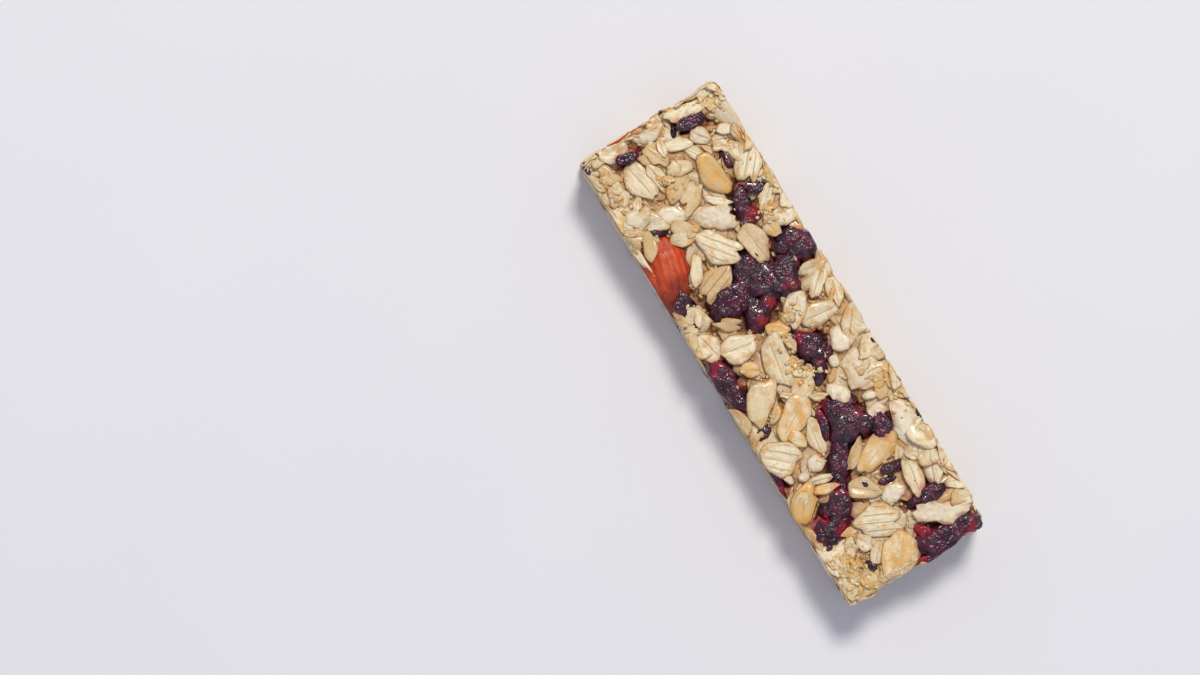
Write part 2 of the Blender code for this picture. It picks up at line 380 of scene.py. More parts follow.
# %% Almond finish
def own_place(paint, stretch):
    """A shape's own coordinates in millimetres, with its length divided by stretch, moved by its random tint."""
    length = paint.value("along") * (1 / stretch)
    sockets = {"X": length, "Y": paint.value("beside"), "Z": paint.value("above") + paint.value("tint") * 50}
    return paint.node("ShaderNodeCombineXYZ", {}, sockets)


def almond_finish():
    """Red-brown skin with ribs, dusty in patches, painted darker towards one end as shade, and cream flesh where the
    mesh says that it is cut.
    """
    paint = Paint("almond_skin", IOR=1.45, Coat_Roughness=0.3)
    ribs = paint.node("ShaderNodeTexNoise", {}, {"Vector": own_place(paint, 14), "Scale": 1.2, "Detail": 3.0})
    fine = paint.node("ShaderNodeTexNoise", {}, {"Vector": own_place(paint, 6), "Scale": 6.0, "Detail": 2.0})
    skin = paint.mix(paint.ease(ribs, 0.3, 0.66), colour(160, 42, 16), colour(214, 80, 26))
    skin = paint.mix(paint.ease(fine, 0.45, 0.75) * 0.4, skin, colour(212, 104, 52))
    # Painted shade: the skin turns dark red-brown towards one end of the nut.
    toward_shaded_end = (paint.cloud(4.0, 2.0) - 0.5) * 6 - paint.value("along")
    skin = paint.mix(paint.ease(toward_shaded_end, -2.0, 5.0) * 0.8, skin, colour(88, 22, 24))
    skin = paint.mix(paint.ease(paint.cloud(4.5, 2.0), 0.5, 0.7) * 0.4, skin, colour(214, 98, 44))
    dust = paint.ease(paint.cloud(2.4, 4.0), 0.6, 0.85) * 0.14
    skin = paint.mix(dust, skin, colour(226, 184, 146))
    cut = paint.ease(paint.value("cut") + (paint.cloud(0.5) - 0.5) * 0.3, 0.35, 0.65)
    flesh = paint.mix(paint.cloud(1.5, 3.0), colour(247, 232, 200), colour(232, 206, 160))
    height = (ribs * 0.7 + fine * 0.3) * (1 - cut * 0.85)
    wet = paint.ease(paint.cloud(2.0, 3.0), 0.42, 0.7) * 0.3
    return paint.finish(paint.mix(cut, skin, flesh), paint.ease(ribs, 0.2, 0.8) * 0.25 + 0.28, height, 0.35, wet)


# %% Almonds
almond_paint = almond_finish()
seated = {}
for number, name in enumerate(numbered("almond")):
    skin = Skin(name, rings=72, meridians=84)
    angle = np.arctan2(skin.own[:, 2], skin.own[:, 1])
    ribs = np.sin(9 * angle + 2.5 * waves(skin.own[:, :1], 6, number)) * 0.09
    folds = valleys(waves(skin.own * [0.25, 1, 1], 1.6, 40 + number), 0.3) * 0.22
    seated[name] = skin.relieved(ribs - folds)
    piece(name + "_skin", seated[name], skin.faces, almond_paint, "almond", [name], **skin.values(number))

# %% [markdown]
# ## Peanut halves
#
# A blanched peanut splits in two. The half is a smooth tan dome, waxy under a film of syrup, a little darker
# towards its edge, with a shallow lengthwise dent. It needs hardly any relief: its smoothness is what sets it
# apart from the flakes.

# %% Peanut halves
def peanut_finish():
    """Waxy tan that goes golden in soft patches, with faint pale scuffs."""
    paint = Paint("peanut_wax", IOR=1.46, Subsurface_Weight=0.12, Subsurface_Scale=0.001)
    patches = paint.cloud(3.5, 2.0)
    base = paint.mix(paint.ease(patches, 0.35, 0.7), colour(232, 190, 128), colour(216, 160, 88))
    scuffs = paint.ease(paint.cloud(0.8, 4.0), 0.6, 0.8) * 0.5
    base = paint.mix(scuffs, base, colour(244, 218, 172))
    film = paint.ease(paint.cloud(2.0, 2.0), 0.45, 0.6) * 0.6
    return paint.finish(base, patches * 0.2 + 0.28, paint.cloud(0.9, 3.0), 0.18, film)


peanut_paint = peanut_finish()
for number, name in enumerate(numbered("peanut")):
    skin = Skin(name, rings=36, meridians=44, evening=6)
    dent = 0.35 * np.exp(-((skin.own[:, 1] - 0.6) / 0.7) ** 2) * (skin.own[:, 0] < 3)
    lumps = 0.14 * waves(skin.own, 4.5, 70 + number)
    seated[name] = skin.relieved(lumps - dent * 0.6)
    piece(name + "_half", seated[name], skin.faces, peanut_paint, "peanut", [name], **skin.values(number))

# %% [markdown]
# ## Dried cranberries
#
# A cranberry is cut and dried in sugar, so its skin shrinks into folds around a little flesh. It looks nearly
# black where it is thick and crimson where light comes through a thin edge, with small sharp glints of sugar
# syrup. The folds are the lines where a noise crosses zero, in two sizes, pressed into the solid's skin.

# %% Dried cranberries
def cranberry_finish():
    """Near-black purple, painted crimson on thin edges as light that comes through them, under a glossy wrinkled coat.
    """
    paint = Paint("dried_cranberry", IOR=1.48, Coat_Roughness=0.06)
    thin = paint.value("thin")
    # Painted light: crimson where light would shine through thin fruit.
    painted_glow_through = paint.ease(thin + (paint.cloud(3.0, 3.0) - 0.5) * 2.0, 0.5, 1.15)
    dark = paint.mix(paint.ease(paint.cloud(2.2, 4.0), 0.4, 0.65), colour(40, 8, 24), colour(84, 14, 44))
    base = paint.mix(painted_glow_through, dark, colour(144, 16, 38))
    bloom = paint.ease(paint.cloud(0.7, 5.0), 0.6, 0.8) * 0.22
    base = paint.mix(bloom, base, colour(172, 132, 150))
    rough = paint.ease(paint.cloud(1.3, 3.0), 0.35, 0.7) * 0.2 + 0.16
    height = paint.cloud(0.6, 2.0) * 0.6 + paint.cloud(1.3, 2.0) * 0.7 + paint.pits(0.6) * 0.3
    return paint.finish(base, rough, height, 0.42, paint.ease(paint.cloud(1.6), 0.4, 0.6) * 0.9)


# Where the fruit is thin and light comes through it: the middle of each place and its reach.
crimson_places = np.array([
    (-6.2, -1.2, 2.0), (-4.9, -3.8, 1.6), (-8.8, 7.6, 1.8), (-3.4, -13.4, 2.0), (6.6, 4.2, 1.6), (14, 0.2, 2.0),
    (37.4, -8.4, 2.2), (30.6, -5.6, 1.6), (45, 3.6, 2.0), (50.6, 0.6, 1.4), (-24.6, 8.6, 2.6), (-8.4, 2.4, 1.6),
    (51, 11.5, 1.6), (-47.6, -5.2, 1.2), (24, -15.4, 1.4), (0.4, 3.2, 1.4), (19, 5, 1.4), (33.6, -11.4, 1.4),
])


def crimson_at(points):
    """1 at the middle of a crimson place, less and less away from it, for points on the upper half of the bar."""
    away = np.linalg.norm(points[:, None, :2] - crimson_places[:, :2], axis=2) / crimson_places[:, 2]
    return np.exp(-(away**2)).max(1) * eased(points[:, 2], 8, 11)


cranberry_paint = cranberry_finish()
for number, name in enumerate(numbered("cranberry")):
    skin = Skin(name, rings=40, meridians=52)
    place = skin.own + 30 * number
    folds = valleys(waves(place, 4.5, 90), 0.35) * 0.45 + valleys(waves(place, 2.0, 91), 0.35) * 0.2
    lumps = 0.45 * waves(place, 6.0, 95) + 0.18 * waves(place, 3.0, 92) + 0.08 * waves(place, 1.1, 93)
    seated[name] = skin.relieved(lumps - folds * (0.25 + 0.75 * np.abs(skin.outward[:, 2])) + 0.15)
    values = skin.values(number)
    light_through = 0.6 * eased(skin.rim, 0.72, 0.98) * (0.6 + 0.4 * waves(place, 5.0, 96))
    light_through += 0.9 * crimson_at(seated[name]) + 0.3 * eased(waves(place, 4.0, 94), 0.1, 1.0)
    values["thin"] = light_through + 0.2 * values["cut"]
    piece(name + "_skin", seated[name], skin.faces, cranberry_paint, "cranberry", [name], **values)

# %% [markdown]
# ## The faces of the bar as height maps
#
# Flakes lie on each other, so where the next one goes depends on those below it. A full simulation of a thousand
# stiff flakes would take minutes. A height map for each face of the bar does nearly as well: it holds how far the
# pile stands out at each spot, each new flake rests on it, and the map then rises to the flake's back.

# %% One face of the bar
class Face:
    """One face of the bar: its middle, the directions along, across and out of it, and the height of its pile in
    cells of half a millimetre, measured from the nominal face. Taken cells hold a nut or a berry."""

    step = 0.5

    def __init__(self, middle, along, across, half_along, half_across):
        self.middle = np.array(middle, float)
        self.axes = np.array([along, across, np.cross(along, across)], float)
        self.half = np.array([half_along, half_across], float)
        counts = np.ceil(2 * self.half / self.step).astype(int)
        self.height = np.full(counts, -3.2)
        self.taken = np.zeros(counts, bool)
        self.nuts = self.taken.copy()

    def to_bar(self, own):
        """Points along, across and out of the face, as points of the bar."""
        return self.middle + own @ self.axes

    def to_face(self, points):
        """Points of the bar, as points along, across and out of the face."""
        return (points - self.middle) @ self.axes.T

    def cells(self, own):
        """The indices of the cells under points of the face."""
        index = ((own[..., :2] + self.half) / self.step).astype(int)
        return tuple(np.clip(index, 0, np.array(self.height.shape) - 1).reshape(-1, 2).T)

    def window(self, place, reach):
        """The cells within reach of a place, as slices, and how far their middles are from it."""
        first = np.floor((place - reach + self.half) / self.step).astype(int)
        last = np.ceil((place + reach + self.half) / self.step).astype(int)
        slices = tuple(slice(max(a, 0), max(b, 0)) for a, b in zip(first, last))
        centres = [np.arange(s.start, min(s.stop, n)) for s, n in zip(slices, self.height.shape)]
        offsets = [(c + 0.5) * self.step - h - p for c, h, p in zip(centres, self.half, place)]
        return slices, np.meshgrid(*offsets, indexing="ij")

    def raise_over(self, points, takes=False):
        """Raises the map to some points of the bar. If it takes them, it marks the cells as shown."""
        own = self.to_face(points)
        near = own[(own[:, 2] > -2.5) & (np.abs(own[:, :2]) < self.half).all(1)]
        cells = self.cells(near)
        np.maximum.at(self.height, cells, near[:, 2])
        if takes:
            np.logical_or.at(self.taken, cells, near[:, 2] > -1.4)

    def spread(self):
        """Grows what was raised by one cell each way, which closes the gaps between the points of a nut."""
        for array in (self.height, self.taken):
            for axis in (0, 1):
                array[:] = np.maximum.reduce([np.roll(array, 1, axis), array, np.roll(array, -1, axis)])


half_length, half_width, thickness = 52.0, 16.2, 15.0
mid = thickness / 2
faces_of_bar = {
    "top": Face((0, 0, thickness), (1, 0, 0), (0, 1, 0), half_length, half_width),
    "under": Face((0, 0, 0), (1, 0, 0), (0, -1, 0), half_length, half_width),
    "left": Face((0, half_width, mid), (-1, 0, 0), (0, 0, 1), half_length, mid),
    "right": Face((0, -half_width, mid), (1, 0, 0), (0, 0, 1), half_length, mid),
    "head": Face((half_length, 0, mid), (0, 1, 0), (0, 0, 1), half_width, mid),
    "tail": Face((-half_length, 0, mid), (0, -1, 0), (0, 0, 1), half_width, mid),
}


def depth_of(points):
    """How far points of the bar lie below the nearest of its faces."""
    beside = np.array([half_length, half_width]) - np.abs(points[:, :2])
    return np.minimum(beside.min(1), mid - np.abs(points[:, 2] - mid))


for face in faces_of_bar.values():
    for points in seated.values():
        face.raise_over(points, takes=True)
    face.spread()
    face.nuts[:] = face.taken
print("cells that nuts and berries show through:", {key: int(face.taken.sum()) for key, face in faces_of_bar.items()})

# %% [markdown]
# ## Settling a flake
#
# A warm flake is soft: it leans and bends to what is below it, and the roller presses down what stands too high.
# So a curved surface of second order is fitted to the map under the flake, its slopes are held to what a flake
# can lean, it is raised until it rests on the high spots, and it is levelled off under the roller's ceiling.

# %% Settle
def bent(x, y):
    """The six terms of a surface of second order."""
    return np.stack([np.ones_like(x), x, y, x * x, x * y, y * y], -1)


def settle(face, place, size, turn, thick, ceiling, lean=0.35, spare=1.0, press=9.0, kept=False):
    """Finds how a flake rests at a place and raises the map to its back. Returns a function that turns the
    flake's own points, in shares of half its length and width and in millimetres of height, into points of the
    bar. Returns None where more than the spare share of the flake would hide a nut or a berry, or where the
    roller would have to press it down by more than its press. A kept flake marks its cells as taken."""
    half = np.array(size) / 2
    cos, sin = np.cos(turn), np.sin(turn)
    cells, (along, across) = face.window(np.array(place, float), half[0])
    x = (along * cos + across * sin) / half[0]
    y = (across * cos - along * sin) / half[1]
    inside = x * x + y * y < 1
    if inside.sum() < 8 or face.taken[cells][inside].mean() > spare:
        return None
    pile = face.height[cells]
    ground = pile[inside]
    terms = bent(x[inside], y[inside])
    rest = np.linalg.lstsq(terms, ground, rcond=None)[0]
    rest[1:3] = np.clip(rest[1:3] + choose.normal(0, 0.2, 2) * lean * half, -lean * half, lean * half)
    rest[3:] = np.clip(rest[3:] * 0.5, -0.4, 0.4)
    rest[0] += np.percentile(ground - terms @ rest, 65)
    if rest[0] > ceiling - thick * 0.9 + press:
        return None
    rest[0] = min(rest[0], ceiling - thick * 0.9)
    back = terms @ rest + thick * np.sqrt(1 - (x * x + y * y)[inside])
    pile[inside] = np.maximum(ground, limited(back, ceiling))
    face.taken[cells] |= kept & inside

    def lay(own):
        x, y = own[:, 0] * half[0], own[:, 1] * half[1]
        lifted = limited(bent(own[:, 0], own[:, 1]) @ rest + own[:, 2], ceiling)
        return face.to_bar(np.stack([x * cos - y * sin + place[0], x * sin + y * cos + place[1], lifted], 1))

    return lay


# %% [markdown]
# ## Shapes of one flake
#
# A rolled oat is a steamed groat pressed between rollers: an oval about 0.8 mm thick, split along the groat's
# crease, often open at one end, with frayed edges. The grid is a square bent onto a disc, which keeps a row of
# points along the crease. The shape has to serve hundreds of times, so it has a few dozen faces.

# %% The grid of a flake
stops_along = np.array([-1, -0.88, -0.6, -0.2, 0.2, 0.6, 0.88, 1])
stops_across = np.array([-1, -0.85, -0.5, -0.16, 0, 0.16, 0.5, 0.85, 1])
s, t = (axis.ravel() for axis in np.meshgrid(stops_along, stops_across, indexing="ij"))
disc = np.stack([s * np.sqrt(1 - t * t / 2), t * np.sqrt(1 - s * s / 2)], 1)
index = np.arange(len(disc)).reshape(len(stops_along), len(stops_across))
back = np.stack([index[:-1, :-1], index[1:, :-1], index[1:, 1:], index[:-1, 1:]], -1).reshape(-1, 4)
rim = np.concatenate([index[:-1, 0], index[-1, :-1], index[:0:-1, -1], index[0, :0:-1]])
belly = np.stack([np.roll(rim, -1), rim, np.full(len(rim), len(disc))], -1)
flake_faces = [back, belly]
print("a flake has", len(back) + len(belly), "faces")


def flake(thick, seam=0.5, split=0.0, fray=0.05):
    """A flake's points in shares of its half length and width, and millimetres of height. The outline is a circle
    with three sine waves around it and a notch at one end. The back is a flat dome with a groove along it."""
    angle = np.arctan2(disc[:, 1], disc[:, 0])
    radius = np.hypot(*disc.T)
    swing = choose.uniform(0, 2 * np.pi, 3)
    edge = 1 + fray * sum(np.sin(n * angle + swing[i]) for i, n in enumerate((2, 3, 5)))
    edge -= choose.uniform(0, 0.2) * np.exp(-(((angle - choose.uniform(-2.8, 2.8)) / 0.22) ** 2)) * radius
    edge -= split * np.exp(-((angle / 0.35) ** 2)) * radius
    taper = (1 - choose.uniform(0, 0.2) * disc[:, 0]) * (1 - choose.uniform(0.05, 0.35) * disc[:, 0] ** 2)
    bow = choose.normal(0, 0.12) * (disc[:, 0] ** 2 - 0.4) + choose.normal(0, 0.16) * (1 - disc[:, 1] ** 2)
    groove = np.exp(-((disc[:, 1] / 0.13) ** 2)) * eased(disc[:, 0] * choose.choice([-1, 1]), -0.9, 0.1)
    dome = np.sqrt(np.clip(1 - radius**6, 0, 1))
    lumps = 0.3 * waves(disc * [0.6, 1.2], 1.3, int(choose.integers(1 << 30)), count=5)
    height = thick * (0.2 + 0.55 * dome * (1 - 0.6 * seam * groove + lumps) + 0.25 * radius**2)
    points = np.stack([disc[:, 0] * edge, disc[:, 1] * edge * taper + bow, height], 1)
    return np.concatenate([points, [[0, 0, -0.25 * thick]]])


# %% Juice
def juice_near(names, cell=0.6, steps=5, share=0.72):
    """A function that tells how near points lie to the skins of some solids. The box is divided into cells, those
    with skin in them hold 1, and in each step a cell takes a share of its fullest neighbour's number."""
    least = np.array([-half_length - 2, -half_width - 2, -2.0])
    level = np.zeros(np.ceil((np.abs(least) * 2 + [0, 0, thickness]) / cell).astype(int))

    def cells(points):
        """The indices of the cells that points lie in."""
        return tuple(np.clip(((points - least) / cell).astype(int), 0, np.array(level.shape) - 1).T)

    for name in names:
        level[cells(seated[name])] = 1
    for _ in range(steps):
        moved = [np.roll(level, shift, axis) for axis in range(3) for shift in (-1, 1)]
        level = np.maximum(level, share * np.max(moved, axis=0))
    return lambda points: level[cells(points)]


juice = juice_near(numbered("cranberry"))

# %% Piles of one kind
class Pile:
    """Many shapes of one kind on one pattern of faces, gathered to become one mesh."""

    def __init__(self, faces, **traits):
        self.faces = faces
        self.traits = traits
        self.points = []
        self.values = []

    def add(self, points, **values):
        """Adds one shape of the bar, trimmed, with numbers for its points."""
        kept, over = trimmed(points, 0.8 * choose.random() ** 1.5, rounding=choose.uniform(0.5, 1.3))
        deep = eased(depth_of(kept), 0.3, 2.2)
        values |= {"cut": eased(over, 0, 0.35), "deep": deep, "tint": choose.random(), "juice": juice(kept)}
        self.points.append(kept)
        self.values.append({key: np.broadcast_to(value, len(kept)) for key, value in values.items()})

    def build(self, name, finish, slot, stands_for=()):
        """Joins the shapes, moving each one's faces on by the number of points before it."""
        firsts = np.arange(len(self.points)) * len(self.points[0])
        faces = [(group[None] + firsts[:, None, None]).reshape(-1, group.shape[1]) for group in self.faces]
        values = {key: np.concatenate([shape[key] for shape in self.values]) for key in self.values[0]}
        print(len(self.points), "shapes:", end=" ")
        return piece(name, np.concatenate(self.points), faces, finish, slot, stands_for, **values)


piles = {
    "whole_oats": Pile(flake_faces, fray=0.055),
    "split_oats": Pile(flake_faces, split=0.35, fray=0.07),
    "broken_oats": Pile(flake_faces, split=0.12, fray=0.15),
    "oat_bits": Pile(flake_faces, fray=0.12),
}


def add_flake(kind, lay, size, thick, glow):
    """Makes a flake of a kind, lays it on a face of the bar and adds it to its pile. Its seam is how deep its
    crease is: many flakes lie with their smooth side up and show none."""
    seam = eased(choose.random(), 0.2, 0.8)
    own = flake(thick, seam, **piles[kind].traits)
    along, beside, above = (own * [size[0] / 2, size[1] / 2, 1]).T
    edge = np.append(np.hypot(*disc.T), 1)
    piles[kind].add(lay(own), along=along, beside=beside, above=above, edge=edge, glow=glow, seam=seam)


# %% [markdown]
# ## Flakes standing in the cut sides
#
# The roller lays flakes level, so a knife that comes down through them meets them edge on: the sides of the bar
# show layer on layer of thin lenses. These flakes stand in rows across each side, poke out a little and are
# levelled by the knife. At the ends the bar was broken apart rather than cut, so they poke out unevenly there.

# %% Edge-on flakes
def edgewise(face, place, size, poke, tilt):
    """Lays a level flake, turned anyhow, that pokes out of a face by some millimetres. The face's own axes are
    along, across and out, and the flake's back looks across."""
    turn, lean, lift = choose.uniform(0, np.pi), *choose.normal(0, tilt, 2)
    along = np.array([np.cos(turn), lean, np.sin(turn)])
    along /= np.linalg.norm(along)
    back = np.array([-lean, 1, lift])
    back -= along * (along @ back)
    back /= np.linalg.norm(back)
    axes = np.stack([along, np.cross(back, along), back]) * [[size[0] / 2], [size[1] / 2], [1]]
    reach = np.hypot(axes[0, 2], axes[1, 2])
    middle = np.array([*place, poke - reach])

    def lay(own):
        return face.to_bar(middle + own @ axes)

    return lay


def flake_size():
    """A flake's length and width: most are 7 to 9 mm long and somewhat over half as wide."""
    length = np.clip(choose.normal(7.9, 1.1), 5.4, 10.4)
    return length, length * choose.uniform(0.48, 0.66)


def golden():
    """How toasted a flake is: most hardly, a few deeply."""
    return choose.random() ** 3


for key in ("left", "right", "head", "tail"):
    face = faces_of_bar[key]
    ragged = key in ("head", "tail")
    for layer in np.arange(-mid + 1.0, mid - 1.2, 1.0):
        for along in np.arange(-face.half[0] + 2, face.half[0] - 1, 3.4):
            place = (along + choose.normal(0, 1.2), layer + choose.normal(0, 0.35))
            poke = choose.uniform(-0.9, 0.5) if ragged else choose.uniform(-0.4, 1.6)
            if face.taken[face.window(np.array(place), 1.5)[0]].mean() > 0.35:
                continue
            size = flake_size()
            kind = choose.choice(list(piles), p=[0.6, 0.15, 0.25, 0])
            add_flake(kind, edgewise(face, place, size, poke, 0.25), size, choose.uniform(1.0, 1.5), golden())
            face.raise_over(piles[kind].points[-1])
    face.spread()

# %% [markdown]
# ## Flakes lying on the faces
#
# Under the roller the flakes lie nearly level. They go down in passes: a deep pass fills the bar up to a
# millimetre below its face, a middle pass comes close to it, and the flakes of the last pass are seen whole. A
# new flake takes the lowest of a few places, so the faces fill evenly.

# %% Random flakes
def lowest_place(face, inset, tries=4):
    """The lowest of a few random places on a face."""
    places = choose.uniform(-1, 1, (tries, 2)) * (face.half - inset)
    depths = [face.height[face.window(place, 2)[0]].mean() for place in places]
    return places[int(np.argmin(depths))]


def scatter(key, tries, ceiling, scale=1.0, lean=0.4, spare=0.2, press=0.35):
    """Tries to lay random flakes on a face, under a ceiling. Those that find no room are left out."""
    face = faces_of_bar[key]
    laid = 0
    for _ in range(tries):
        size, thick = np.multiply(flake_size(), scale), choose.uniform(0.8, 1.1) * scale**0.3
        place, turn = lowest_place(face, 0.8), choose.uniform(0, np.pi)
        lay = settle(face, place, size, turn, thick, ceiling + choose.normal(0, 0.12), lean, spare, press)
        if lay:
            kind = choose.choice(list(piles), p=[0.65, 0.12, 0.23, 0] if scale > 0.6 else [0, 0, 0, 1])
            add_flake(kind, lay, size, thick, golden())
            laid += 1
    print(f"{key}: {laid} flakes of {tries} found room under {ceiling} mm")


for key, tries, ceiling in (("top", 500, -2.0), ("top", 500, -1.1), ("under", 500, -0.9)):
    scatter(key, tries, ceiling)

# %% [markdown]
# ## Torn fruit
#
# The paddles that tumble the mix tear the berries, and the roller spreads the soft pieces: so the fruit runs on
# between the flakes as thin crimson smears and dark scraps. They are balls as the berries are, flattened and
# wrinkled, and they lie under the last flakes.

# %% Torn fruit
scrap_ball, scrap_faces = ball(14, 18)
scraps = Pile(scrap_faces)


def add_scrap(face, place, size, turn, ceiling):
    """Lays a wrinkled ball of fruit on a face."""
    thick = choose.uniform(1.2, 1.8)
    lay = settle(face, place, size, turn, thick, ceiling, 0.4, kept=True)
    if not lay:
        return
    along, beside, above = (scrap_ball * [size[0] / 2, size[1] / 2, thick / 2]).T
    noisy = np.stack([along, beside, above], 1) + choose.uniform(0, 99, 3)
    shape = 1 + 0.25 * waves(noisy, 4.0, 5) + 0.1 * waves(noisy, 1.8, 4) - 0.2 * valleys(waves(noisy, 2.6, 6), 0.4)
    own = scrap_ball * shape[:, None] * [1, 1, thick / 2] + [0, 0, thick * 0.35]
    laid = lay(own)
    thin = choose.uniform(0, 0.6) ** 2 + 0.3 * eased(np.hypot(*scrap_ball[:, :2].T), 0.6, 1.0) + crimson_at(laid)
    scraps.add(laid, along=along, beside=beside, above=above, thin=thin)


# Each row is a scrap of the top face: its middle, its length and width, and its turn in degrees.
smears_on_top = (
    (-47.5, 3.6, 4, 2, -20), (-29, 11.3, 4, 2.6, 70), (-25, 6.6, 3.6, 2.6, 0), (-23.8, 8.3, 8, 2.2, 80),
    (-31.3, -8.7, 5, 1.8, 65), (-49.3, -14.9, 4, 1.4, 0), (-45.5, -13, 4, 2.2, -20), (-15, 9, 5, 4, 0),
    (-8, 8.2, 4.5, 3.4, 40), (-7.8, 5.6, 3.5, 2, 60), (-6.6, -1, 6, 3.4, -50), (-5.2, -2.8, 4, 3, 20),
    (-11.5, -8, 5, 3.4, -20), (-17.6, 3.6, 4.4, 3, 40), (-15.8, -1.2, 4.4, 3, 0), (-9.5, 3.8, 6, 4, -40),
    (-12.5, -1.5, 6, 5, 0), (-12.8, 4.9, 6, 5, 0), (-16.8, -12.5, 6, 4, -20), (-12.6, -13.2, 3.6, 2.4, 30),
    (8.3, 3.4, 5, 3, -35), (-0.3, 2.8, 4, 2.6, 40), (6.8, 6.6, 4, 2, -20), (12.8, -12.6, 4.4, 3, -60),
    (15, 0.6, 4.4, 3, -60), (17.4, -1.7, 5, 2.4, -15), (22, -0.6, 6, 4, -25), (29, -4.6, 5, 3, -40),
    (21.5, 5.6, 5, 4, 0), (15.8, 5.2, 3.6, 2.6, 50), (32, 5.8, 5.4, 2.6, 70), (33.6, 3.4, 4, 1.8, 70),
    (31, -0.8, 3, 1.6, -10), (36.4, -8.2, 4, 3, -50), (31.6, -10, 4, 2.6, 80), (39, -13.5, 3, 2, -60),
    (45.2, 3.8, 5, 2.6, 30), (51, 1.4, 4, 2, 80), (47, 12, 5, 3, 80), (51.4, -4.6, 3.6, 1.4, 85),
    (43.7, -14.8, 2.2, 1.6, 0), (24.5, -15.4, 4, 1.8, 0), (20.5, -15.6, 3, 1.4, -20), (46, -8.2, 3, 1.6, 10),
    (26.5, 15.4, 4, 1.4, -20), (8, 15.3, 3.6, 1.2, 10), (33, 15.7, 3, 1.4, 20), (-36.5, 9.4, 5, 1.8, 10),
)
for x, y, length, width, turn in smears_on_top:
    add_scrap(faces_of_bar["top"], (x, y), (length, width), np.radians(turn), choose.uniform(-0.5, 0.0))
# Between the big berries the fruit runs together.
joined_on_top = (
    (-12.6, 9.6, 6, 4, -60), (-13, 4.6, 7, 5, 20), (-14.4, -1.6, 6, 4, 80), (-11.6, -2.6, 6, 4, -50),
    (-15.6, 0.6, 5, 4, 0), (-16.4, 9.2, 4, 3, 80), (16.6, 0.8, 5, 3.4, -30), (22.6, 5.2, 4.6, 3.4, -40),
    (27.8, -4.2, 5, 3, -35), (34.8, -9.6, 5, 3.2, -45), (47.6, 3.2, 5, 3, 60), (5.6, 4.6, 4.4, 3, -30),
    (-6.8, -0.8, 6, 3, -52), (-9, 7.6, 4, 3, -40), (-2.6, -13.6, 4, 3.2, 0), (50.6, 13.4, 3.4, 2.6, 80),
    (-25, 8.4, 4.4, 3, 40), (-51, 5.6, 3.6, 1.8, 20), (-51, 3.4, 3, 1.4, -20),
)
for x, y, length, width, turn in joined_on_top:
    add_scrap(faces_of_bar["top"], (x, y), (length, width), np.radians(turn), choose.uniform(0, 0.25))
for key, count in (("under", 14), ("left", 8), ("right", 8), ("head", 4), ("tail", 4)):
    for _ in range(count):
        face = faces_of_bar[key]
        size = choose.uniform(2.5, 5), choose.uniform(1.8, 3)
        add_scrap(face, lowest_place(face, 2), size, choose.uniform(0, np.pi), -0.2)

# %% [markdown]
# ## Rice crisps
#
# A rice crisp is a grain puffed with steam: a light, blistered bubble of greyish white, up to 10 mm long, which
# the roller half crushes. Its blisters are a noise raised to its absolute value, which makes round bumps that
# meet in sharp valleys.

# %% Rice crisps
crisp_ball, crisp_faces = ball(16, 20)
piles_of_rice = Pile(crisp_faces)


def add_crisp(face, place, size, turn, ceiling, spare=1.0):
    """Lays one blistered, flattened ball on a face."""
    thick = choose.uniform(1.5, 2.2)
    lay = settle(face, place, size, turn, thick, ceiling, 0.35, spare, kept=True)
    if not lay:
        return
    along, beside, above = (crisp_ball * [size[0] / 2, size[1] / 2, thick / 2]).T
    noisy = np.stack([along, beside, above], 1) + choose.uniform(0, 99, 3)
    blisters = np.abs(waves(noisy, 3.4, 7)) * 0.3 + np.abs(waves(noisy * [0.6, 1, 1], 1.7, 8)) * 0.28
    outline = 0.86 + 0.16 * waves(noisy[:, :2], 5, 9) + 0.06 * waves(noisy[:, :2], 2, 10)
    own = crisp_ball * np.stack([outline, outline, (0.7 + blisters) * thick / 2], 1) + [0, 0, thick * 0.4]
    edge = np.hypot(*crisp_ball[:, :2].T)
    glow = golden() * 0.3
    piles_of_rice.add(lay(own), along=along, beside=beside, above=above, edge=edge, glow=glow, seam=0)


# Each row is a crisp of the top face: its middle, its length and width, and its turn in degrees.
rice_on_top = (
    (-44, 14.6, 9.5, 6.4, 30), (-33.2, -5.7, 8.5, 4.5, 55), (-28.2, 1.8, 10.5, 5.6, 50), (-35.8, -11.8, 5, 4.6, 0),
    (-21.8, 14, 6.4, 5.4, 60), (5, 9.8, 6.6, 4.6, 0), (11.6, 10.8, 10.5, 8, -40), (8.3, 6.7, 2.8, 2.4, 0),
    (13.7, 4.2, 6.4, 4.2, 20), (25.2, 12.3, 12.4, 5.6, -18), (20.8, 8.6, 4.6, 3.8, 80), (17.4, 9, 3.6, 2.2, 75),
    (36.3, 2.9, 6.8, 4.2, 85), (44.4, 9.4, 13, 5.6, 62), (23.2, -6.7, 4.2, 3.8, 0), (24.3, -10.5, 3.2, 2.4, 60),
    (23.3, -13, 3.6, 1.8, 15), (50.2, -6.7, 4.6, 3.6, 0), (-13.4, -11.2, 4.8, 2.4, -28),
)
for x, y, length, width, turn in rice_on_top:
    add_crisp(faces_of_bar["top"], (x, y), (length, width), np.radians(turn), choose.uniform(-0.2, 0.35))
for key, count in (("under", 22), ("left", 9), ("right", 9), ("head", 3), ("tail", 3)):
    for _ in range(count):
        face = faces_of_bar[key]
        size = choose.uniform(5, 8), choose.uniform(3.5, 5)
        add_crisp(face, lowest_place(face, 2.5), size, choose.uniform(0, np.pi), 0.0, spare=0.2)

# %% [markdown]
# ## The flakes seen whole
#
# The last flakes make the face that one knows the bar by, so each is given its place. The rows say where its
# middle lies, how long and wide it is and how it is turned.

